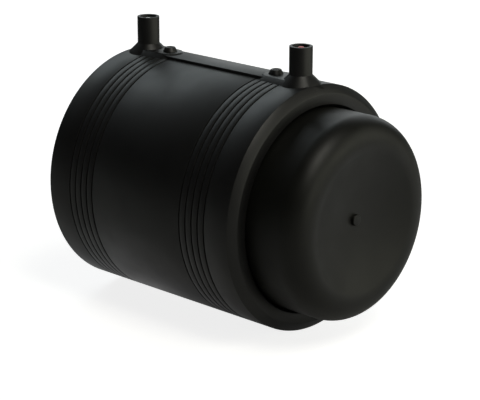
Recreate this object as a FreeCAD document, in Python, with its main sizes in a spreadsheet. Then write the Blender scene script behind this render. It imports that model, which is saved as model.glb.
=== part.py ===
import FreeCAD, Part
import math
import os

import Sketcher

# Electrofusion end cap for a 110 mm polyethylene pipe, in millimetres.
# The sleeve lies along +X from its open mouth to the plugged one, and its terminals stand up along +Z.
# The origin is the centre of the open end face.

Vector = FreeCAD.Vector

sizes = {
    # Pipe, sleeve tube and its mouths
    "pipe_radius": 55.0,
    "socket_clearance": 0.5,
    "body_wall": 11.5,
    "body_length": 141.4,
    "end_chamfer_length": 3.2,
    "end_chamfer_depth": 4.6,
    "lead_in_length": 2.0,
    "lead_in_depth": 1.1,
    # Fine grooves round the outside at each end: the first one's distance from the end, then the spacing
    "groove_offset": 19.5,
    "groove_pitch": 4.43,
    "groove_count": 5,
    "groove_width": 1.2,
    "groove_depth": 0.7,
    # Stop ring in the middle of the bore
    "stop_width": 4.0,
    "stop_height": 4.5,
    # Winding: a bed in the bore at each end, and a slot along the crown between them
    "wire_size": 1.0,
    "wire_play": 0.05,
    "mouth_zone": 20.0,
    "cold_zone": 14.7,
    # Terminal shroud on its conical foot, measured from the crown of the body
    "shroud_offset": 13.4,
    "shroud_radius": 6.2,
    "shroud_wall": 1.6,
    "shroud_height": 19.5,
    "shroud_depth": 14.0,
    "shroud_edge": 0.4,
    "foot_height": 5.15,
    "foot_slope": 0.9,
    "boss_root": 2.5,
    # Pad, collar and peg of the fusion indicator
    "indicator_offset": 17.4,
    "pad_height": 1.8,
    "pad_radius": 6.9,
    "pad_radius_at_shroud": 8.2,
    "pad_slope": 1.0,
    "collar_radius": 4.1,
    "collar_rim": 0.95,
    "collar_height": 2.5,
    "indicator_radius": 1.8,
    "indicator_recess": 0.4,
    "indicator_edge": 0.3,
    "indicator_play": 0.05,
    "well_floor": 2.0,
    # Raised strip over the cross-over of the winding
    "strip_height": 1.06,
    "strip_inset": 0.14,
    # Contact pin
    "pin_radius": 2.0,
    "pin_base_radius": 3.0,
    "pin_foot_gap": 1.0,
    "pin_recess": 1.0,
    "pin_tip_edge": 0.5,
    "pin_play": 0.05,
    # Red tip in the end of the plug-side pin
    "tip_inset": 0.2,
    "tip_height": 1.2,
    "tip_spigot_radius": 1.0,
    "tip_spigot_length": 4.0,
    # Plug
    "plug_wall": 10.0,
    "plug_reach": 33.1,
    "plug_shoulder_radius": 12.9,
    "plug_dish_depth": 7.9,
    "plug_end_wall": 12.0,
    "plug_lead_chamfer": 2.0,
    "gate_radius": 3.3,
    "gate_height": 1.8,
}

doc = FreeCAD.newDocument("ElectrofusionEndCap")
sheet = doc.addObject("Spreadsheet::Sheet", "Sizes")
for row, (alias, number) in enumerate(sizes.items(), start=1):
    sheet.set(f"A{row}", alias)
    sheet.set(f"B{row}", str(number))
    sheet.setAlias(f"B{row}", alias)
doc.recompute()

# Places that several pieces share, as expressions on the sheet.
# Every X here runs from the middle of the sleeve, about which the sleeve and its winding are symmetric.
half = "(Sizes.body_length / 2)"
bore = "(Sizes.pipe_radius + Sizes.socket_clearance)"
crown = f"({bore} + Sizes.body_wall)"
winding = f"({bore} + Sizes.wire_size)"
bed = f"({winding} + Sizes.wire_play)"
zone_outer = f"({half} - Sizes.mouth_zone)"
zone_inner = "(Sizes.stop_width / 2 + Sizes.cold_zone)"
root = f"({crown} - Sizes.boss_root)"
foot_top = f"({crown} + Sizes.foot_height)"
shroud_x = f"({half} - Sizes.shroud_offset)"
shroud_top = f"({crown} + Sizes.shroud_height)"
cup_floor = f"({shroud_top} - Sizes.shroud_depth)"
indicator_x = f"({shroud_x} - Sizes.indicator_offset)"
pad_top = f"({crown} + Sizes.pad_height)"
collar_top = f"({pad_top} + Sizes.collar_height)"
well_bottom = f"({bed} + Sizes.well_floor)"
well_radius = "(Sizes.indicator_radius + Sizes.indicator_play)"
pin_foot = f"({bed} + Sizes.pin_foot_gap)"
pin_tip = f"({shroud_top} - Sizes.pin_recess)"
wire_side = "(Sizes.wire_size / 2)"


def value(expression):
    return float(sheet.evalExpression(expression))


def new_body(name, x):
    body = doc.addObject("PartDesign::Body", name)
    body.Label = name
    body.setExpression(".Placement.Base.x", x)
    return body


def origin_part(body, role):
    return next(part for part in body.Origin.OriginFeatures if part.Role == role)


def new_sketch(body, name, role, x="0", lift="0"):
    sketch = body.newObject("Sketcher::SketchObject", name)
    sketch.AttachmentSupport = [(origin_part(body, role), "")]
    sketch.MapMode = "FlatFace"
    sketch.setExpression(".AttachmentOffset.Base.x", x)
    sketch.setExpression(".AttachmentOffset.Base.z", lift)
    return sketch


def pin_point(sketch, geometry, point, x, y):
    # Ties one point of the sketch to its two coordinates
    for kind, axis, expression in (("DistanceX", -2, x), ("DistanceY", -1, y)):
        if expression == "0":
            sketch.addConstraint(Sketcher.Constraint("PointOnObject", geometry, point, axis))
        else:
            row = sketch.addConstraint(Sketcher.Constraint(kind, -1, 1, geometry, point, value(expression)))
            sketch.setExpression(f"Constraints[{row}]", expression)


def outline(sketch, corners):
    # A closed outline of straight sides, each corner a pair of expressions
    places = [Vector(value(x), value(y), 0) for x, y in corners]
    count = len(places)
    for index in range(count):
        sketch.addGeometry(Part.LineSegment(places[index], places[(index + 1) % count]))
    for index in range(count):
        sketch.addConstraint(Sketcher.Constraint("Coincident", index, 2, (index + 1) % count, 1))
    for index, (x, y) in enumerate(corners):
        pin_point(sketch, index, 1, x, y)


def rectangle(sketch, x0, x1, y0, y1):
    outline(sketch, [(x0, y0), (x1, y0), (x1, y1), (x0, y1)])


def turned(body, kind, name, sketch, about):
    # A Revolution or a Groove, a full turn about an axis of the sketch or of the body
    feature = body.newObject(f"PartDesign::{kind}", name)
    feature.Profile = sketch
    feature.ReferenceAxis = about
    feature.Angle = 360
    sketch.Visibility = False
    return feature


def hull_outline(sketch, near, far, distance):
    # Two circles and their outer tangents: near at the sketch's origin, far along its X axis
    near_r, far_r, length = value(near), value(far), value(distance)
    lean = math.acos((near_r - far_r) / length)
    up = Vector(0, 0, 1)
    near_centre, far_centre = Vector(0, 0, 0), Vector(length, 0, 0)

    def on(centre, radius, angle):
        return centre + Vector(radius * math.cos(angle), radius * math.sin(angle), 0)

    near_circle = Part.Circle(near_centre, up, near_r)
    far_circle = Part.Circle(far_centre, up, far_r)
    sketch.addGeometry(Part.ArcOfCircle(near_circle, lean, 2 * math.pi - lean))
    sketch.addGeometry(Part.LineSegment(on(near_centre, near_r, -lean), on(far_centre, far_r, -lean)))
    sketch.addGeometry(Part.ArcOfCircle(far_circle, -lean, lean))
    sketch.addGeometry(Part.LineSegment(on(far_centre, far_r, lean), on(near_centre, near_r, lean)))
    for index in range(4):
        sketch.addConstraint(Sketcher.Constraint("Tangent", index, 2, (index + 1) % 4, 1))
    sketch.addConstraint(Sketcher.Constraint("Coincident", 0, 3, -1, 1))
    pin_point(sketch, 2, 3, distance, "0")
    for geometry, radius in ((0, near), (2, far)):
        row = sketch.addConstraint(Sketcher.Constraint("Radius", geometry, value(radius)))
        sketch.setExpression(f"Constraints[{row}]", radius)


def make_sleeve():
    body = new_body("coupler_sleeve", half)
    x_axis = (origin_part(body, "X_Axis"), [""])

    # Tube with its lead-in chamfers, the two beds for the winding and the stop ring
    plug_half = [
        (half, crown),
        (half, f"{bore} + Sizes.lead_in_depth"),
        (f"{half} - Sizes.lead_in_length", bore),
        (zone_outer, bore),
        (zone_outer, bed),
        (zone_inner, bed),
        (zone_inner, bore),
        ("Sizes.stop_width / 2", bore),
        ("Sizes.stop_width / 2", f"{bore} - Sizes.stop_height"),
    ]
    pipe_half = [(f"-({x})", r) for x, r in reversed(plug_half)]
    sketch = new_sketch(body, "TubeProfile", "XZ_Plane")
    outline(sketch, plug_half + pipe_half)
    turned(body, "Revolution", "Tube", sketch, x_axis)

    # Fine grooves round both ends, cut first because the strip and the pads lie over them
    groove_top = f"{crown} + Sizes.groove_depth"
    for end, sign, inward in (("Pipe", "-", False), ("Plug", "", True)):
        first = f"{sign}({half} - Sizes.groove_offset)"
        sketch = new_sketch(body, f"{end}GrooveProfile", "XZ_Plane", x=first)
        outline(
            sketch,
            [
                ("-Sizes.groove_width", groove_top),
                ("0", f"{crown} - Sizes.groove_depth"),
                ("Sizes.groove_width", groove_top),
            ],
        )
        groove = turned(body, "Groove", f"{end}Groove", sketch, x_axis)
        doc.recompute()
        pattern = body.newObject("PartDesign::LinearPattern", f"{end}Grooves")
        pattern.Originals = [groove]
        pattern.Direction = x_axis
        pattern.Reversed = inward
        pattern.setExpression("Length", "Sizes.groove_pitch * (Sizes.groove_count - 1)")
        pattern.setExpression("Occurrences", "Sizes.groove_count")
        body.Tip = pattern
        doc.recompute()

    # Strip along the crown, which ends inside the two pads
    pad_edge = "(Sizes.pad_radius + (Sizes.pad_height - Sizes.strip_height) * Sizes.pad_slope)"
    width = f"({pad_edge} - Sizes.strip_inset)"
    sketch = new_sketch(body, "StripOutline", "XY_Plane", lift=root)
    rectangle(sketch, f"-{indicator_x}", indicator_x, f"-{width}", width)
    strip = body.newObject("PartDesign::Pad", "Strip")
    strip.Profile = sketch
    strip.setExpression("Length", "Sizes.boss_root + Sizes.strip_height")

    # Pad, drafted all round, from the indicator to the foot of the shroud
    spread = "((Sizes.pad_height + Sizes.boss_root) * Sizes.pad_slope)"
    sections = []
    for name, lift, extra in (("PadTop", pad_top, "0"), ("PadRoot", root, spread)):
        sketch = new_sketch(body, name, "XY_Plane", x=indicator_x, lift=lift)
        hull_outline(
            sketch,
            f"Sizes.pad_radius + {extra}",
            f"Sizes.pad_radius_at_shroud + {extra}",
            "Sizes.indicator_offset",
        )
        sections.append(sketch)
    pad = body.newObject("PartDesign::AdditiveLoft", "IndicatorPad")
    pad.Profile = sections[0]
    pad.Sections = [sections[1]]
    pad.Ruled = True

    # Collar round the indicator's well
    sketch = new_sketch(body, "CollarProfile", "XZ_Plane", x=indicator_x)
    outline(
        sketch,
        [
            ("0", root),
            ("Sizes.collar_radius", root),
            ("Sizes.collar_radius", pad_top),
            (f"{well_radius} + Sizes.collar_rim", collar_top),
            ("0", collar_top),
        ],
    )
    collar = turned(body, "Revolution", "Collar", sketch, (sketch, ["V_Axis"]))

    # Shroud on its conical foot
    foot_radius = "(Sizes.shroud_radius + Sizes.foot_slope * (Sizes.foot_height + Sizes.boss_root))"
    sketch = new_sketch(body, "ShroudProfile", "XZ_Plane", x=shroud_x)
    outline(
        sketch,
        [
            ("0", root),
            (foot_radius, root),
            ("Sizes.shroud_radius", foot_top),
            ("Sizes.shroud_radius", f"{shroud_top} - Sizes.shroud_edge"),
            ("Sizes.shroud_radius - Sizes.shroud_edge", shroud_top),
            ("0", shroud_top),
        ],
    )
    shroud = turned(body, "Revolution", "Shroud", sketch, (sketch, ["V_Axis"]))

    # End chamfer, carried up over the foot of the shroud, which it trims
    lean = "(Sizes.end_chamfer_length / Sizes.end_chamfer_depth)"
    beyond = f"{half} + Sizes.end_chamfer_length"
    sketch = new_sketch(body, "EndChamferProfile", "XZ_Plane")
    outline(
        sketch,
        [
            (beyond, f"{crown} - 2 * Sizes.end_chamfer_depth"),
            (f"{half} - Sizes.end_chamfer_length - Sizes.foot_height * {lean}", foot_top),
            (beyond, foot_top),
        ],
    )
    chamfer = turned(body, "Groove", "EndChamfer", sketch, x_axis)

    # Cup of the shroud, seat of the pin, and the way for the wire up to the pin's foot
    wire_way = "(Sizes.wire_size * sqrt(2) / 2 + Sizes.wire_play)"
    sketch = new_sketch(body, "CupProfile", "XZ_Plane", x=shroud_x)
    outline(
        sketch,
        [
            ("0", f"{bore} - Sizes.wire_size"),
            (wire_way, f"{bore} - Sizes.wire_size"),
            (wire_way, pin_foot),
            ("Sizes.pin_base_radius + Sizes.pin_play", pin_foot),
            ("Sizes.pin_base_radius + Sizes.pin_play", cup_floor),
            ("Sizes.shroud_radius - Sizes.shroud_wall", cup_floor),
            ("Sizes.shroud_radius - Sizes.shroud_wall", f"{shroud_top} + Sizes.shroud_edge"),
            ("0", f"{shroud_top} + Sizes.shroud_edge"),
        ],
    )
    cup = turned(body, "Groove", "Cup", sketch, (sketch, ["V_Axis"]))

    # Blind well of the indicator
    sketch = new_sketch(body, "WellProfile", "XZ_Plane", x=indicator_x)
    rectangle(sketch, "0", well_radius, well_bottom, f"{collar_top} + Sizes.collar_height")
    well = turned(body, "Groove", "Well", sketch, (sketch, ["V_Axis"]))
    doc.recompute()

    # The same at the pipe end
    both = body.newObject("PartDesign::Mirrored", "BothEnds")
    both.Originals = [pad, collar, shroud, chamfer, cup, well]
    both.MirrorPlane = (origin_part(body, "YZ_Plane"), [""])
    body.Tip = both
    doc.recompute()

    # Slot for the wire along the crown of the bore, over the stop ring and a play shallower than the beds
    slot_end = f"({shroud_x} + {wire_side} + Sizes.wire_play)"
    slot_side = f"({wire_side} + Sizes.wire_play)"
    sketch = new_sketch(body, "WireSlotOutline", "XY_Plane", lift=f"{bore} - Sizes.wire_size")
    rectangle(sketch, f"-{slot_end}", slot_end, f"-{slot_side}", slot_side)
    slot = body.newObject("PartDesign::Pocket", "WireSlot")
    slot.Profile = sketch
    slot.Reversed = True
    slot.setExpression("Length", "2 * Sizes.wire_size")
    return body


def make_plug():
    # Its own X starts at the inner end, which butts on the stop ring
    body = new_body("end_plug", f"{half} + Sizes.stop_width / 2")
    x_axis = (origin_part(body, "X_Axis"), [""])
    crest = f"({half} - Sizes.stop_width / 2 + Sizes.plug_reach)"
    dish = f"({crest} - Sizes.plug_dish_depth)"
    shoulder_x = f"({crest} - Sizes.plug_shoulder_radius)"
    shoulder_r = "(Sizes.pipe_radius - Sizes.plug_shoulder_radius)"
    hollow_end = f"({dish} - Sizes.plug_end_wall)"
    hollow_r = "(Sizes.pipe_radius - Sizes.plug_wall)"

    # Straight sides of the profile, from the hollow's end out and round to the shoulder
    sketch = new_sketch(body, "PlugProfile", "XZ_Plane")
    corners = [
        (hollow_end, "0"),
        (hollow_end, hollow_r),
        ("0", hollow_r),
        ("0", "Sizes.pipe_radius - Sizes.plug_lead_chamfer"),
        ("Sizes.plug_lead_chamfer", "Sizes.pipe_radius"),
        (shoulder_x, "Sizes.pipe_radius"),
    ]
    places = [Vector(value(x), value(y), 0) for x, y in corners]
    for start, end in zip(places, places[1:]):
        sketch.addGeometry(Part.LineSegment(start, end))
    last = len(places) - 2
    for index in range(last):
        sketch.addConstraint(Sketcher.Constraint("Coincident", index, 2, index + 1, 1))
    for index in range(last + 1):
        pin_point(sketch, index, 1, *corners[index])
    pin_point(sketch, last, 2, *corners[-1])

    # The shoulder's arc runs over the crest into the dish, a shallow cone that touches it
    centre = Vector(value(shoulder_x), value(shoulder_r), 0)
    middle = Vector(value(dish), 0, 0)
    to_centre = centre - middle
    radius = value("Sizes.plug_shoulder_radius")
    dish_angle = math.atan2(to_centre.y, to_centre.x) - math.asin(radius / to_centre.Length)
    dish_length = math.sqrt(to_centre.Length**2 - radius**2)
    touch = middle + Vector(math.cos(dish_angle), math.sin(dish_angle), 0) * dish_length
    round_edge = Part.Circle(centre, Vector(0, 0, 1), radius)
    arc = sketch.addGeometry(Part.ArcOfCircle(round_edge, dish_angle - math.pi / 2, math.pi / 2))
    cone = sketch.addGeometry(Part.LineSegment(touch, middle))
    axis = sketch.addGeometry(Part.LineSegment(middle, places[0]))
    sketch.addConstraint(Sketcher.Constraint("Coincident", last, 2, arc, 2))
    pin_point(sketch, arc, 3, shoulder_x, shoulder_r)
    sketch.addConstraint(Sketcher.Constraint("Tangent", arc, 1, cone, 1))
    sketch.addConstraint(Sketcher.Constraint("Coincident", cone, 2, axis, 1))
    sketch.addConstraint(Sketcher.Constraint("Coincident", axis, 2, 0, 1))
    pin_point(sketch, axis, 1, dish, "0")
    turned(body, "Revolution", "Plug", sketch, x_axis)

    # Stub of the moulding gate in the middle of the dish
    sketch = new_sketch(body, "GateProfile", "XZ_Plane")
    rectangle(sketch, hollow_end, f"{dish} + Sizes.gate_height", "0", "Sizes.gate_radius")
    turned(body, "Revolution", "Gate", sketch, x_axis)
    return body


def make_wire():
    # The turns of each zone lie side by side and are one ring
    body = new_body("heating_wire", half)
    sketch = new_sketch(body, "ZoneSection", "XZ_Plane")
    rectangle(sketch, f"{zone_inner} + Sizes.wire_play", f"{zone_outer} - Sizes.wire_play", bore, winding)
    zone = turned(body, "Revolution", "PlugZone", sketch, (origin_part(body, "X_Axis"), [""]))

    # Leg that meets the foot of the pin
    sketch = new_sketch(body, "LegOutline", "XY_Plane", x=shroud_x, lift=f"{bore} + Sizes.wire_play")
    rectangle(sketch, f"-{wire_side}", wire_side, f"-{wire_side}", wire_side)
    leg = body.newObject("PartDesign::Pad", "PlugLeg")
    leg.Profile = sketch
    leg.setExpression("Length", f"{pin_foot} - {bore} - Sizes.wire_play")

    # Run along the crown, from the middle of the cross-over through the ring to the leg
    sketch = new_sketch(body, "RunOutline", "XY_Plane", lift=f"{bore} + Sizes.wire_play")
    rectangle(sketch, "0", f"{shroud_x} + {wire_side}", f"-{wire_side}", wire_side)
    run = body.newObject("PartDesign::Pad", "PlugRun")
    run.Profile = sketch
    run.setExpression("Length", "Sizes.wire_size - 2 * Sizes.wire_play")
    doc.recompute()

    both = body.newObject("PartDesign::Mirrored", "BothHalves")
    both.Originals = [zone, leg, run]
    both.MirrorPlane = (origin_part(body, "YZ_Plane"), [""])
    body.Tip = both
    return body


def make_pin(name, x, tipped):
    body = new_body(name, x)
    top = f"({pin_tip} - Sizes.tip_height)" if tipped else pin_tip
    corners = [
        ("0", pin_foot),
        ("Sizes.pin_base_radius", pin_foot),
        ("Sizes.pin_base_radius", cup_floor),
        ("Sizes.pin_radius", cup_floor),
    ]
    if tipped:
        hole = "(Sizes.tip_spigot_radius + Sizes.pin_play)"
        hole_end = f"({top} - Sizes.tip_spigot_length - Sizes.pin_play)"
        corners += [("Sizes.pin_radius", top), (hole, top), (hole, hole_end), ("0", hole_end)]
    else:
        corners += [
            ("Sizes.pin_radius", f"{top} - Sizes.pin_tip_edge"),
            ("Sizes.pin_radius - Sizes.pin_tip_edge", top),
            ("0", top),
        ]
    sketch = new_sketch(body, f"{name}_profile", "XZ_Plane")
    outline(sketch, corners)
    turned(body, "Revolution", f"{name}_turning", sketch, (origin_part(body, "Z_Axis"), [""]))
    return body


def make_coding_tip(name, x):
    body = new_body(name, x)
    seat = f"({pin_tip} - Sizes.tip_height)"
    rim = "(Sizes.pin_radius - Sizes.tip_inset)"
    sketch = new_sketch(body, "TipProfile", "XZ_Plane")
    outline(
        sketch,
        [
            ("0", f"{seat} - Sizes.tip_spigot_length"),
            ("Sizes.tip_spigot_radius", f"{seat} - Sizes.tip_spigot_length"),
            ("Sizes.tip_spigot_radius", seat),
            (rim, seat),
            (rim, f"{pin_tip} - Sizes.pin_tip_edge"),
            (f"{rim} - Sizes.pin_tip_edge", pin_tip),
            ("0", pin_tip),
        ],
    )
    turned(body, "Revolution", "Tip", sketch, (origin_part(body, "Z_Axis"), [""]))
    return body


def make_indicator(name, x):
    body = new_body(name, x)
    top = f"({collar_top} - Sizes.indicator_recess)"
    sketch = new_sketch(body, f"{name}_profile", "XZ_Plane")
    outline(
        sketch,
        [
            ("0", well_bottom),
            ("Sizes.indicator_radius", well_bottom),
            ("Sizes.indicator_radius", f"{top} - Sizes.indicator_edge"),
            ("Sizes.indicator_radius - Sizes.indicator_edge", top),
            ("0", top),
        ],
    )
    turned(body, "Revolution", f"{name}_turning", sketch, (origin_part(body, "Z_Axis"), [""]))
    return body


pieces = [make_sleeve(), make_plug(), make_wire()]
for side, sign in (("pipe_side", "-"), ("plug_side", "+")):
    at_shroud = f"{half} {sign} {shroud_x}"
    pieces.append(make_pin(f"terminal_pin_{side}", at_shroud, tipped=side == "plug_side"))
    pieces.append(make_indicator(f"fusion_indicator_{side}", f"{half} {sign} {indicator_x}"))
pieces.append(make_coding_tip("coding_tip", f"{half} + {shroud_x}"))
doc.recompute()

for item in doc.Objects:
    if "Invalid" in item.State or "Error" in item.State:
        raise RuntimeError(f"{item.Name} failed: {item.State}")
for piece in pieces:
    shape = piece.Shape
    if shape.isNull() or not shape.isValid() or len(shape.Solids) != 1:
        raise RuntimeError(f"{piece.Label} isn't one valid solid")

os.makedirs("parts", exist_ok=True)
for piece in pieces:
    piece.Shape.exportStep(f"parts/{piece.Label}.step")
    print(f"{piece.Label}: {piece.Shape.Volume / 1000:.2f} cm3")
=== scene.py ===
import math

import bpy
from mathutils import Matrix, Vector


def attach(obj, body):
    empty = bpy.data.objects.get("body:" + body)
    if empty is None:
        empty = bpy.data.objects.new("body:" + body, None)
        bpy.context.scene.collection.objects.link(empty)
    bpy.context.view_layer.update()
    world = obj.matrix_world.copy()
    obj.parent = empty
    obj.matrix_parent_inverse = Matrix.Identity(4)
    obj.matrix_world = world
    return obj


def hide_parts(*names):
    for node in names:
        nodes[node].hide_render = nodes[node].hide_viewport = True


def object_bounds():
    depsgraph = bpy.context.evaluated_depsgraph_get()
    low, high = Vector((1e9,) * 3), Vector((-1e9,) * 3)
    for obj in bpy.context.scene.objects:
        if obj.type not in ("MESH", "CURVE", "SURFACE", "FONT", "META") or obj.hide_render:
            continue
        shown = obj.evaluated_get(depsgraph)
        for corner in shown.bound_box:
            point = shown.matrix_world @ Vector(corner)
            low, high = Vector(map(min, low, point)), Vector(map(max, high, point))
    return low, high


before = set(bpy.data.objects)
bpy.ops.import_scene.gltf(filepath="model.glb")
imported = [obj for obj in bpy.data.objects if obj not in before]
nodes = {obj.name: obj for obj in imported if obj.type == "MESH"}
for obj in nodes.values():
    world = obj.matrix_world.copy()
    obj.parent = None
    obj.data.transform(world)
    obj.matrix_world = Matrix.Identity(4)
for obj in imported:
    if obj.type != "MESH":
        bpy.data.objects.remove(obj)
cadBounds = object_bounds()
millimetre = 0.001
mergeDistance = 1e-6  # metres


def selectOnly(*pieces):
    bpy.ops.object.select_all(action="DESELECT")
    for piece in pieces:
        piece.select_set(True)
    bpy.context.view_layer.objects.active = pieces[0]


def applyModifier(piece, kind, **settings):
    selectOnly(piece)
    modifier = piece.modifiers.new(kind.title(), kind)
    for key, setting in settings.items():
        setattr(modifier, key, setting)
    bpy.ops.object.modifier_apply(modifier=modifier.name)


def settle(piece):
    # The place goes into the mesh, doubles are merged and the faces turned outwards
    selectOnly(piece)
    bpy.ops.object.transform_apply(location=True, rotation=True, scale=True)
    bpy.ops.object.mode_set(mode="EDIT")
    bpy.ops.mesh.select_all(action="SELECT")
    bpy.ops.mesh.remove_doubles(threshold=mergeDistance)
    bpy.ops.mesh.normals_make_consistent(inside=False)
    bpy.ops.object.mode_set(mode="OBJECT")


def joinPieces(name, pieces):
    selectOnly(*pieces)
    bpy.ops.object.join()
    joined = bpy.context.object
    joined.name = name
    return joined


def softEdges(piece, width, segments=2, degrees=25):
    # Width in millimetres, on every edge that turns by more than the angle
    applyModifier(
        piece,
        "BEVEL",
        width=width * millimetre,
        segments=segments,
        limit_method="ANGLE",
        angle_limit=math.radians(degrees),
        use_clamp_overlap=True,
    )


def smoothShading(piece, degrees):
    selectOnly(piece)
    bpy.ops.object.shade_smooth_by_angle(angle=math.radians(degrees))


def turnedPiece(name, profile, steps, uprightAt=None):
    # The profile is pairs of place along the axis and radius, in millimetres.
    # The axis is the pipe's, or an upright one at the place that uprightAt gives
    upright = uprightAt is not None
    centre = Vector((uprightAt or 0.0, 0.0, 0.0)) * millimetre
    points = []
    for along, radius in profile:
        point = (radius, 0.0, along) if upright else (along, 0.0, radius)
        points.append(centre + Vector(point) * millimetre)
    bpy.ops.object.select_all(action="DESELECT")
    bpy.ops.mesh.primitive_plane_add(size=millimetre, location=points[0])
    piece = bpy.context.object
    piece.name = name
    bpy.ops.object.mode_set(mode="EDIT")
    bpy.ops.mesh.merge(type="CENTER")
    for here, there in zip(points, points[1:]):
        bpy.ops.mesh.extrude_vertices_move(TRANSFORM_OT_translate={"value": there - here})
    bpy.ops.mesh.select_all(action="SELECT")
    axis = (0.0, 0.0, 1.0) if upright else (1.0, 0.0, 0.0)
    bpy.ops.mesh.spin(steps=steps, angle=2 * math.pi, center=centre, axis=axis)
    bpy.ops.object.mode_set(mode="OBJECT")
    settle(piece)
    return piece


# Sleeve's tube, in millimetres: distances along the pipe's axis from the open end, and radii
tube = {
    "length": 141.4,
    "radius": 67.0,
    "bore": 55.5,
    "chamferLength": 3.2,
    "chamferDepth": 4.6,
    "leadLength": 2.0,
    "leadDepth": 1.1,
    "bedRadius": 56.55,
    "bedStart": 20.0,
    "bedEnd": 54.0,
    "stopWidth": 4.0,
    "stopRadius": 51.0,
    "firstGroove": 19.5,
    "groovePitch": 4.43,
    "grooveCount": 5,
    "grooveWidth": 0.95,
    "grooveFloor": 0.8,
    "grooveDepth": 0.8,
    "edge": 0.18,
    "steps": 288,
    "smoothAngle": 35,
}


def mirroredCopy(piece, name):
    # Both ends of the sleeve are the same, so what stands at one is copied across the middle of the tube
    selectOnly(piece)
    bpy.ops.object.duplicate(linked=False)
    twin = bpy.context.object
    twin.name = name
    middle = tube["length"] / 2 * millimetre
    bpy.ops.object.mode_set(mode="EDIT")
    bpy.ops.mesh.select_all(action="SELECT")
    bpy.ops.transform.resize(value=(-1.0, 1.0, 1.0), center_override=(middle, 0.0, 0.0))
    bpy.ops.mesh.normals_make_consistent(inside=False)
    bpy.ops.object.mode_set(mode="OBJECT")
    return twin


def grooveLine():
    # The outside of the tube from one end to the other, with the grooves of both ends
    line = []
    for index in range(tube["grooveCount"]):
        middle = tube["firstGroove"] + index * tube["groovePitch"]
        floorRadius = tube["radius"] - tube["grooveDepth"]
        line += [
            (middle - tube["grooveWidth"] / 2, tube["radius"]),
            (middle - tube["grooveFloor"] / 2, floorRadius),
            (middle + tube["grooveFloor"] / 2, floorRadius),
            (middle + tube["grooveWidth"] / 2, tube["radius"]),
        ]
    mirrored = [(tube["length"] - along, radius) for along, radius in reversed(line)]
    return line + mirrored


def makeTube():
    length, bore = tube["length"], tube["bore"]
    outside = [
        (0.0, tube["radius"] - tube["chamferDepth"]),
        (tube["chamferLength"], tube["radius"]),
        *grooveLine(),
        (length - tube["chamferLength"], tube["radius"]),
        (length, tube["radius"] - tube["chamferDepth"]),
    ]
    # The inside from the plug's end to the stop ring, and its mirror image from there to the open end
    plugHalf = [
        (length, bore + tube["leadDepth"]),
        (length - tube["leadLength"], bore),
        (length - tube["bedStart"], bore),
        (length - tube["bedStart"], tube["bedRadius"]),
        (length - tube["bedEnd"], tube["bedRadius"]),
        (length - tube["bedEnd"], bore),
        ((length + tube["stopWidth"]) / 2, bore),
        ((length + tube["stopWidth"]) / 2, tube["stopRadius"]),
    ]
    openHalf = [(length - along, radius) for along, radius in reversed(plugHalf)]
    piece = turnedPiece("sleeveTube", outside + plugHalf + openHalf + outside[:1], tube["steps"])
    softEdges(piece, tube["edge"])
    return piece


# Terminal end of the sleeve, in millimetres and the same at both ends: heights are from the pipe's axis
terminal = {
    "root": 64.5,
    "shroudAt": 13.4,
    "shroudRadius": 6.2,
    "cupRadius": 4.6,
    "cupFloor": 72.5,
    "top": 86.5,
    "footTop": 71.4,
    "footSlope": 1.0,
    "shroudEdge": 0.3,
    "shroudSteps": 96,
    "indicatorAt": 30.8,
    "collarRadius": 4.1,
    "collarTop": 71.3,
    "collarMouth": 2.8,
    "wellRadius": 1.85,
    "wellFloor": 69.6,
    "collarEdge": 0.18,
    "collarSteps": 72,
    "padTop": 68.8,
    "padRadius": 6.9,
    "padRadiusAtShroud": 8.2,
    "padEdge": 0.3,
    "padSteps": 96,
    "stripHalfWidth": 7.5,
    "stripTop": 68.06,
    "stripEdge": 0.15,
}


def makeShroud():
    along = terminal["shroudAt"]
    footHeight = terminal["footTop"] - terminal["root"]
    footRadius = terminal["shroudRadius"] + terminal["footSlope"] * footHeight
    profile = [
        (terminal["root"], 0.0),
        (terminal["root"], footRadius),
        (terminal["footTop"], terminal["shroudRadius"]),
        (terminal["top"], terminal["shroudRadius"]),
        (terminal["top"], terminal["cupRadius"]),
        (terminal["cupFloor"], terminal["cupRadius"]),
        (terminal["cupFloor"], 0.0),
    ]
    shroud = turnedPiece("shroud", profile, terminal["shroudSteps"], along)

    # The end chamfer is carried up over the foot by a ring that is cut from it
    lean = tube["chamferLength"] / tube["chamferDepth"]
    inner = tube["radius"] - 2 * tube["chamferDepth"]
    outer = terminal["footTop"]
    atInner = tube["chamferLength"] - (tube["radius"] - inner) * lean
    atOuter = tube["chamferLength"] + (outer - tube["radius"]) * lean
    behind = atInner - 1.0  # the ring's back, clear of the foot
    ring = [(behind, inner), (atInner, inner), (atOuter, outer), (behind, outer)]
    cutter = turnedPiece("chamferCutter", ring + ring[:1], tube["steps"])
    applyModifier(shroud, "BOOLEAN", object=cutter, operation="DIFFERENCE", solver="EXACT")
    bpy.data.objects.remove(cutter)
    softEdges(shroud, terminal["shroudEdge"])
    return shroud


def makeCollar():
    profile = [
        (terminal["root"], 0.0),
        (terminal["root"], terminal["collarRadius"]),
        (terminal["padTop"], terminal["collarRadius"]),
        (terminal["collarTop"], terminal["collarMouth"]),
        (terminal["collarTop"], terminal["wellRadius"]),
        (terminal["wellFloor"], terminal["wellRadius"]),
        (terminal["wellFloor"], 0.0),
    ]
    collar = turnedPiece("collar", profile, terminal["collarSteps"], terminal["indicatorAt"])
    softEdges(collar, terminal["collarEdge"])
    return collar


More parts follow.
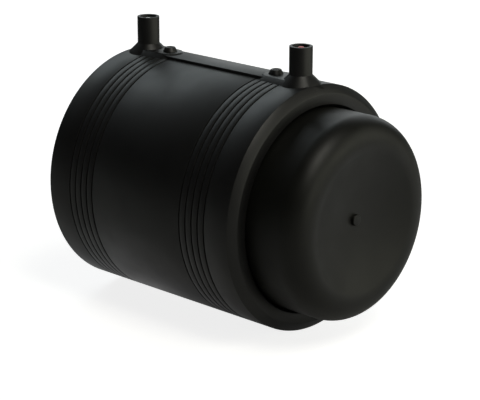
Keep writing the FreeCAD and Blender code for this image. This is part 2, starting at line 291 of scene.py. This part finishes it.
def makePad():
    # Two blunt cones, one at the indicator and one at the shroud, with a hull drawn round both
    drop = terminal["padTop"] - terminal["root"]
    cones = []
    for along, radius in (
        (terminal["indicatorAt"], terminal["padRadius"]),
        (terminal["shroudAt"], terminal["padRadiusAtShroud"]),
    ):
        bpy.ops.object.select_all(action="DESELECT")
        bpy.ops.mesh.primitive_cone_add(
            vertices=terminal["padSteps"],
            radius1=(radius + drop) * millimetre,
            radius2=radius * millimetre,
            depth=drop * millimetre,
            location=Vector((along, 0.0, terminal["root"] + drop / 2)) * millimetre,
        )
        cones.append(bpy.context.object)
    pad = joinPieces("pad", cones)
    flatWithin = math.radians(1)
    bpy.ops.object.mode_set(mode="EDIT")
    bpy.ops.mesh.select_all(action="SELECT")
    bpy.ops.mesh.convex_hull()
    bpy.ops.mesh.dissolve_limited(angle_limit=flatWithin)
    bpy.ops.object.mode_set(mode="OBJECT")
    settle(pad)
    softEdges(pad, terminal["padEdge"])
    return pad


def makeStrip():
    # The flat strip along the crown, from one indicator to the other
    near, far = terminal["indicatorAt"], tube["length"] - terminal["indicatorAt"]
    height = terminal["stripTop"] - terminal["root"]
    middle = ((near + far) / 2, 0.0, terminal["root"] + height / 2)
    bpy.ops.object.select_all(action="DESELECT")
    bpy.ops.mesh.primitive_cube_add(size=millimetre, location=Vector(middle) * millimetre)
    piece = bpy.context.object
    piece.name = "sleeveStrip"
    bpy.ops.transform.resize(value=(far - near, 2 * terminal["stripHalfWidth"], height))
    settle(piece)
    softEdges(piece, terminal["stripEdge"])
    return piece


def makeSleeve():
    pipeEnd = joinPieces("terminalEnd", [makeShroud(), makePad(), makeCollar()])
    plugEnd = mirroredCopy(pipeEnd, "terminalEndAtPlug")
    sleeve = joinPieces("sleeveMoulding", [makeTube(), makeStrip(), pipeEnd, plugEnd])
    smoothShading(sleeve, tube["smoothAngle"])
    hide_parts("coupler_sleeve")
    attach(sleeve, "root")
    return sleeve


# Plug, in millimetres from the sleeve's open end
plug = {
    "inner": 72.7,
    "crest": 174.5,
    "radius": 55.0,
    "shoulder": 12.9,
    "dish": 7.9,
    "hollowRadius": 45.0,
    "hollowEnd": 154.6,
    "hollowCorner": 3.0,
    "lead": 2.0,
    "steps": 216,
    "shoulderSteps": 28,
    "dishSteps": 16,
    "gateRadius": 3.3,
    "gateHeight": 1.8,
    "gateTaper": 0.25,
    "gateRoot": 2.0,
    "gateEdge": 0.35,
    "gateEdgeSegments": 3,
    "gateSteps": 48,
    "smoothAngle": 30,
}


def makePlug():
    crest, radius, shoulder = plug["crest"], plug["radius"], plug["shoulder"]
    centreAlong, centreRadius = crest - shoulder, radius - shoulder
    bottom = crest - plug["dish"]
    # The dish is a ball's cap that runs into the shoulder's arc
    depth = shoulder - plug["dish"]
    ball = (centreRadius**2 + depth**2 - shoulder**2) / (2 * (shoulder - depth))
    ballAlong = bottom + ball
    lean = math.atan2(centreRadius, ballAlong - centreAlong)
    profile = [
        (plug["hollowEnd"], 0.0),
        (plug["hollowEnd"], plug["hollowRadius"] - plug["hollowCorner"]),
        (plug["hollowEnd"] - plug["hollowCorner"], plug["hollowRadius"]),
        (plug["inner"], plug["hollowRadius"]),
        (plug["inner"], radius - plug["lead"]),
        (plug["inner"] + plug["lead"], radius),
    ]
    for step in range(plug["shoulderSteps"] + 1):
        angle = math.pi / 2 - (math.pi / 2 + lean) * step / plug["shoulderSteps"]
        profile.append((centreAlong + shoulder * math.cos(angle), centreRadius + shoulder * math.sin(angle)))
    for step in range(1, plug["dishSteps"]):
        angle = lean * (1 - step / plug["dishSteps"])
        profile.append((ballAlong - ball * math.cos(angle), ball * math.sin(angle)))
    profile.append((bottom, 0.0))
    body = turnedPiece("plugBody", profile, plug["steps"])
    gateProfile = [
        (bottom - plug["gateRoot"], 0.0),
        (bottom - plug["gateRoot"], plug["gateRadius"]),
        (bottom + plug["gateHeight"], plug["gateRadius"] - plug["gateTaper"]),
        (bottom + plug["gateHeight"], 0.0),
    ]
    gate = turnedPiece("plugGate", gateProfile, plug["gateSteps"])
    softEdges(gate, plug["gateEdge"], segments=plug["gateEdgeSegments"])
    endPlug = joinPieces("plugMoulding", [body, gate])
    smoothShading(endPlug, plug["smoothAngle"])
    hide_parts("end_plug")
    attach(endPlug, "root")
    return endPlug


# Resistance wire, in millimetres: its turns in both beds, and the run along the crown to the pins
winding = {
    "wireRadius": 0.44,
    "wireSides": 8,
    "coilRadius": 56.0,
    "zoneStart": 20.6,
    "zoneEnd": 53.4,
    "turns": 16,
    "stepsPerTurn": 72,
    "pinFoot": 57.55,
    "smoothAngle": 80,
}


def makeCoil():
    bpy.ops.object.select_all(action="DESELECT")
    bpy.ops.mesh.primitive_circle_add(
        vertices=winding["wireSides"],
        radius=winding["wireRadius"] * millimetre,
        location=Vector((winding["zoneStart"], 0.0, winding["coilRadius"])) * millimetre,
        rotation=(math.pi / 2, 0.0, 0.0),
    )
    coil = bpy.context.object
    bpy.ops.object.transform_apply(location=True, rotation=True, scale=True)
    applyModifier(
        coil,
        "SCREW",
        axis="X",
        angle=2 * math.pi,
        screw_offset=(winding["zoneEnd"] - winding["zoneStart"]) / winding["turns"] * millimetre,
        iterations=winding["turns"],
        steps=winding["stepsPerTurn"],
        render_steps=winding["stepsPerTurn"],
    )
    bpy.ops.object.mode_set(mode="EDIT")
    bpy.ops.mesh.select_all(action="SELECT")
    bpy.ops.mesh.fill_holes(sides=0)
    bpy.ops.object.mode_set(mode="OBJECT")
    settle(coil)
    return coil


def makeWinding():
    radius, coilRadius = winding["wireRadius"], winding["coilRadius"]
    coil = makeCoil()
    parts = [coil, mirroredCopy(coil, "coilAtPlug")]

    # The run lies along the crown of the bore and turns up to the foot of each pin.
    # Each straight has its middle, its length and its turn
    shroudAt = terminal["shroudAt"]
    run = tube["length"] - 2 * shroudAt
    leg = winding["pinFoot"] - coilRadius + radius
    straights = [
        ((shroudAt + run / 2, 0.0, coilRadius), run + 2 * radius, math.pi / 2),
        ((shroudAt, 0.0, winding["pinFoot"] - leg / 2), leg, 0.0),
        ((tube["length"] - shroudAt, 0.0, winding["pinFoot"] - leg / 2), leg, 0.0),
    ]
    endEdge, endAngle = radius / 3, 60
    for middle, length, turn in straights:
        bpy.ops.object.select_all(action="DESELECT")
        bpy.ops.mesh.primitive_cylinder_add(
            vertices=2 * winding["wireSides"],
            radius=radius * millimetre,
            depth=length * millimetre,
            location=Vector(middle) * millimetre,
            rotation=(0.0, turn, 0.0),
        )
        straight = bpy.context.object
        settle(straight)
        softEdges(straight, endEdge, degrees=endAngle)
        parts.append(straight)
    wire = joinPieces("windingWire", parts)
    smoothShading(wire, winding["smoothAngle"])
    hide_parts("heating_wire")
    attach(wire, "root")
    return wire


# Red cap of the coded pin, in millimetres: its domed end shows in the mouth of the shroud
codedTip = {
    "at": 128.0,
    "seat": 84.3,
    "radius": 1.8,
    "rim": 85.3,
    "dome": 0.85,
    "domeSteps": 8,
    "spigotRadius": 1.0,
    "spigotEnd": 80.3,
    "edge": 0.08,
    "edgeAngle": 50,
    "steps": 48,
    "smoothAngle": 40,
}


def makeTip():
    radius, dome = codedTip["radius"], codedTip["dome"]
    profile = [
        (codedTip["spigotEnd"], 0.0),
        (codedTip["spigotEnd"], codedTip["spigotRadius"]),
        (codedTip["seat"], codedTip["spigotRadius"]),
        (codedTip["seat"], radius),
    ]
    for step in range(codedTip["domeSteps"] + 1):
        angle = math.pi / 2 * step / codedTip["domeSteps"]
        profile.append((codedTip["rim"] + dome * math.sin(angle), radius * math.cos(angle)))
    tip = turnedPiece("redTip", profile, codedTip["steps"], codedTip["at"])
    softEdges(tip, codedTip["edge"], degrees=codedTip["edgeAngle"])
    smoothShading(tip, codedTip["smoothAngle"])
    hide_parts("coding_tip")
    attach(tip, "root")
    return tip


fullWhite = (1.0, 1.0, 1.0, 1.0)
noiseSpan = (0.3, 0.7)  # where nearly all of a noise's values lie


def newMaterial(name):
    material = bpy.data.materials.new(name)
    material.use_nodes = True
    tree = material.node_tree
    tree.nodes.clear()
    output = tree.nodes.new("ShaderNodeOutputMaterial")
    shader = tree.nodes.new("ShaderNodeBsdfPrincipled")
    tree.links.new(shader.outputs["BSDF"], output.inputs["Surface"])
    return material, tree, shader


def addNoise(tree, scale, detail, stretch=None):
    coordinates = tree.nodes.new("ShaderNodeTexCoord")
    mapping = tree.nodes.new("ShaderNodeMapping")
    if stretch:
        mapping.inputs["Scale"].default_value = stretch
    noise = tree.nodes.new("ShaderNodeTexNoise")
    noise.inputs["Scale"].default_value = scale
    noise.inputs["Detail"].default_value = detail
    tree.links.new(coordinates.outputs["Object"], mapping.inputs["Vector"])
    tree.links.new(mapping.outputs["Vector"], noise.inputs["Vector"])
    return noise.outputs["Fac"]


def addRamp(tree, factor, low, high, lowValue, highValue):
    ramp = tree.nodes.new("ShaderNodeMapRange")
    ramp.inputs["From Min"].default_value = low
    ramp.inputs["From Max"].default_value = high
    ramp.inputs["To Min"].default_value = lowValue
    ramp.inputs["To Max"].default_value = highValue
    tree.links.new(factor, ramp.inputs["Value"])
    return ramp.outputs["Result"]


def addColourMix(tree, factor, dark, light):
    mix = tree.nodes.new("ShaderNodeMix")
    mix.data_type = "RGBA"
    mix.inputs["A"].default_value = (*dark, 1.0)
    mix.inputs["B"].default_value = (*light, 1.0)
    tree.links.new(factor, mix.inputs["Factor"])
    return mix.outputs["Result"]


def finishSurface(tree, shader, look, cloud, haze, grain):
    # Cloud shades the colour, haze the roughness, and grain is the bump
    tint = addRamp(tree, cloud, *noiseSpan, 0.0, 1.0)
    tree.links.new(addColourMix(tree, tint, look["dark"], look["light"]), shader.inputs["Base Color"])
    rough = addRamp(tree, haze, *noiseSpan, look["roughLow"], look["roughHigh"])
    tree.links.new(rough, shader.inputs["Roughness"])
    bump = tree.nodes.new("ShaderNodeBump")
    bump.inputs["Strength"].default_value = look["grainStrength"]
    bump.inputs["Distance"].default_value = look["grainDepth"]
    tree.links.new(grain, bump.inputs["Height"])
    tree.links.new(bump.outputs["Normal"], shader.inputs["Normal"])


def mouldedPlastic(name, look):
    material, tree, shader = newMaterial(name)
    cloud = addNoise(tree, look["cloudScale"], look["cloudDetail"])
    haze = addNoise(tree, look["hazeScale"], look["hazeDetail"])
    grain = addNoise(tree, look["grainScale"], look["grainDetail"])
    finishSurface(tree, shader, look, cloud, haze, grain)
    shader.inputs["IOR"].default_value = look["ior"]
    return material


def drawnMetal(name, look):
    material, tree, shader = newMaterial(name)
    cloud = addNoise(tree, look["cloudScale"], look["cloudDetail"], look["stretch"])
    finishSurface(tree, shader, look, cloud, cloud, cloud)
    shader.inputs["Metallic"].default_value = 1.0
    return material


# Finishes: colours, scales per metre, roughness, and the depth of the grain in metres
sleeveLook = {
    "dark": (0.003, 0.0031, 0.0033),
    "light": (0.0042, 0.0042, 0.0044),
    "cloudScale": 18.0,
    "cloudDetail": 3.0,
    "hazeScale": 60.0,
    "hazeDetail": 5.0,
    "roughLow": 0.42,
    "roughHigh": 0.5,
    "ior": 1.5,
    "grainScale": 2600.0,
    "grainDetail": 4.0,
    "grainStrength": 0.12,
    "grainDepth": 0.00006,
}
plugLook = dict(sleeveLook, dark=(0.0036, 0.0038, 0.0028), light=(0.005, 0.0052, 0.004), ior=1.4)
indicatorLook = dict(sleeveLook, roughLow=0.5, roughHigh=0.6)
redLook = dict(
    sleeveLook,
    dark=(0.62, 0.05, 0.05),
    light=(0.74, 0.09, 0.09),
    roughLow=0.25,
    roughHigh=0.35,
)
tinLook = {
    "dark": (0.62, 0.61, 0.58),
    "light": (0.78, 0.77, 0.74),
    "cloudScale": 700.0,
    "cloudDetail": 4.0,
    "stretch": (1.0, 1.0, 0.2),
    "roughLow": 0.35,
    "roughHigh": 0.48,
    "grainStrength": 0.15,
    "grainDepth": 0.00005,
}
copperLook = dict(
    tinLook,
    dark=(0.58, 0.31, 0.18),
    light=(0.68, 0.39, 0.24),
    cloudScale=90.0,
    stretch=(1.0, 1.0, 1.0),
    grainStrength=0.02,
)


def makeMaterials():
    return {
        "sleeve": mouldedPlastic("sleevePlastic", sleeveLook),
        "plug": mouldedPlastic("plugPlastic", plugLook),
        "indicator": mouldedPlastic("indicatorPlastic", indicatorLook),
        "tip": mouldedPlastic("tipPlastic", redLook),
        "pin": drawnMetal("pinTin", tinLook),
        "wire": drawnMetal("wireCopper", copperLook),
    }


def dress(piece, material):
    if piece.data.materials:
        for index in range(len(piece.data.materials)):
            piece.data.materials[index] = material
    else:
        piece.data.materials.append(material)


# The photograph's camera, in metres and degrees, with its lens and sensor in millimetres
photoCamera = {
    "location": (0.716426, -0.670743, 0.278386),
    "rotation": (72.80409, -0.11708, 43.32524),
    "lens": 131.07,
    "sensor": 36.0,
    "nearest": 0.01,
    "farthest": 20.0,
}


def makeCamera():
    turns = [math.radians(angle) for angle in photoCamera["rotation"]]
    bpy.ops.object.camera_add(location=photoCamera["location"], rotation=turns)
    camera = bpy.context.object
    camera.name = "photoCamera"
    camera.data.lens = photoCamera["lens"]
    camera.data.sensor_width = photoCamera["sensor"]
    camera.data.clip_start = photoCamera["nearest"]
    camera.data.clip_end = photoCamera["farthest"]
    bpy.context.scene.camera = camera
    bpy.context.scene.view_settings.view_transform = "Standard"


def addSum(tree, first, second, factor):
    # first + second x factor, where the factor is a number or another node's value
    node = tree.nodes.new("ShaderNodeMath")
    node.operation = "MULTIPLY_ADD"
    tree.links.new(second, node.inputs[0])
    if isinstance(factor, float):
        node.inputs[1].default_value = factor
    else:
        tree.links.new(factor, node.inputs[1])
    tree.links.new(first, node.inputs[2])
    return node.outputs["Value"]


def addBackground(tree, inGloss):
    # How much of the white a ray sees: all of it for the camera and through clear pieces, a share in gloss
    path = tree.nodes.new("ShaderNodeLightPath")
    seen = addSum(tree, path.outputs["Is Camera Ray"], path.outputs["Is Transmission Ray"], 1.0)
    return addSum(tree, seen, path.outputs["Is Glossy Ray"], inGloss)


def addPool(tree, middle, radius):
    # 1 at its middle, down to 0 at its radius
    coordinates = tree.nodes.new("ShaderNodeTexCoord")
    mapping = tree.nodes.new("ShaderNodeMapping")
    mapping.vector_type = "TEXTURE"
    mapping.inputs["Location"].default_value = (*middle, 0.0)
    mapping.inputs["Scale"].default_value = (radius, radius, radius)
    pool = tree.nodes.new("ShaderNodeTexGradient")
    pool.gradient_type = "QUADRATIC_SPHERE"
    tree.links.new(coordinates.outputs["Object"], mapping.inputs["Vector"])
    tree.links.new(mapping.outputs["Vector"], pool.inputs["Vector"])
    return pool.outputs["Fac"]


# Paper floor that the camera sees white, with the object's shadow on it, in metres from the sleeve's open end
paper = {
    "size": 12.0,
    "roughness": 0.9,
    "cloudScale": 6.0,
    "cloudDetail": 2.0,
    "dark": (0.6, 0.6, 0.6),
    "light": (0.63, 0.63, 0.63),
    # Glow far from the object, and near it, where it is less so that the shadow shows
    "farGlow": 1.0,
    "nearGlow": 0.83,
    "nearRadius": 2.5,
    "nearLevel": 0.4,  # how high the near pool is where the glow is down to nearGlow
    # Painted reflections: pools of white glow on the floor that only gloss sees, one under the sleeve and one
    # beside the plug, which brighten the sleeve's underside and the plug's face in reflection: middle,
    # radius, share
    "paintedReflectionPools": [
        ((0.03, 0.0), 0.16, 0.9),
        ((0.38, 0.2), 0.45, 0.42),
    ],
}


def makeFloor():
    material, tree, shader = newMaterial("floorPaper")
    shader.inputs["Roughness"].default_value = paper["roughness"]
    shade = addNoise(tree, paper["cloudScale"], paper["cloudDetail"])
    tree.links.new(addColourMix(tree, shade, paper["dark"], paper["light"]), shader.inputs["Base Color"])
    inGloss = None
    # Painted reflections: each pool adds a glow that only glossy rays see
    for middle, radius, share in paper["paintedReflectionPools"]:
        pool = addRamp(tree, addPool(tree, middle, radius), 0.0, 1.0, 0.0, share)
        inGloss = addSum(tree, inGloss, pool, 1.0) if inGloss else pool
    near = addPool(tree, (0.0, 0.0), paper["nearRadius"])
    paperGlow = addRamp(tree, near, 0.0, paper["nearLevel"], paper["farGlow"], paper["nearGlow"])
    glow = tree.nodes.new("ShaderNodeMath")
    glow.operation = "MULTIPLY"
    tree.links.new(addBackground(tree, inGloss), glow.inputs[0])
    tree.links.new(paperGlow, glow.inputs[1])
    tree.links.new(glow.outputs["Value"], shader.inputs["Emission Strength"])
    shader.inputs["Emission Color"].default_value = fullWhite
    bpy.ops.object.select_all(action="DESELECT")
    bpy.ops.mesh.primitive_plane_add(size=paper["size"], location=(0.0, 0.0, cadBounds[0][2]))
    floor = bpy.context.object
    floor.name = "floor"
    floor.data.materials.append(material)


# Studio: azimuth 0 is the side of -Y and 90 the side of the plug, and glow is the brightness of a box's face
studio = {
    "distance": 1.9,
    "roomInGloss": 0.02,  # share of the white room that gloss shows
    # Name, azimuth, elevation, size in metres, glow, colour
    "softboxes": [
        ("keyBox", 76, 56, (0.7, 0.9), 6.0, (1.0, 0.98, 0.88)),
        ("plugSideBox", 98, 14, (1.4, 0.8), 1.4, (1.0, 1.0, 0.84)),
        ("backRightBox", 135, 15, (1.2, 1.3), 1.1, (1.0, 1.0, 0.84)),
        ("backBox", 208, 20, (1.2, 1.2), 1.25, (0.95, 1.0, 1.0)),
        ("backLeftBox", 246, 38, (1.2, 1.0), 1.5, (0.88, 0.98, 1.0)),
        ("leftBox", 290, 42, (1.1, 1.0), 0.15, (0.94, 0.98, 1.0)),
    ],
}


def addSoftbox(name, azimuth, elevation, size, glow, colour):
    turn, rise = math.radians(azimuth), math.radians(elevation)
    middle = (Vector(cadBounds[0]) + Vector(cadBounds[1])) / 2
    outward = Vector((math.sin(turn) * math.cos(rise), -math.cos(turn) * math.cos(rise), math.sin(rise)))
    bpy.ops.object.light_add(
        type="AREA",
        location=middle + studio["distance"] * outward,
        rotation=outward.to_track_quat("Z", "Y").to_euler(),
    )
    lamp = bpy.context.object
    lamp.name = name
    lamp.data.shape = "RECTANGLE"
    lamp.data.size, lamp.data.size_y = size
    lamp.data.energy = math.pi * size[0] * size[1] * glow
    lamp.data.color = colour
    lamp.visible_camera = False


def makeWorld():
    world = bpy.data.worlds.new("studio")
    bpy.context.scene.world = world
    world.use_nodes = True
    tree = world.node_tree
    tree.nodes.clear()
    output = tree.nodes.new("ShaderNodeOutputWorld")
    room = tree.nodes.new("ShaderNodeBackground")
    room.inputs["Color"].default_value = fullWhite
    tree.links.new(addBackground(tree, studio["roomInGloss"]), room.inputs["Strength"])
    tree.links.new(room.outputs["Background"], output.inputs["Surface"])


makeCamera()
makeFloor()
makeWorld()
for softbox in studio["softboxes"]:
    addSoftbox(*softbox)
print("stage: camera, floor and lights")

sleeve = makeSleeve()
print("stage: sleeve")
endPlug = makePlug()
print("stage: plug")
wire = makeWinding()
print("stage: winding")
tip = makeTip()
print("stage: tip")

materials = makeMaterials()
dress(sleeve, materials["sleeve"])
dress(endPlug, materials["plug"])
dress(wire, materials["wire"])
for side in ("pipe_side", "plug_side"):
    dress(nodes[f"terminal_pin_{side}"], materials["pin"])
    dress(nodes[f"fusion_indicator_{side}"], materials["indicator"])
dress(tip, materials["tip"])
print("stage: materials")
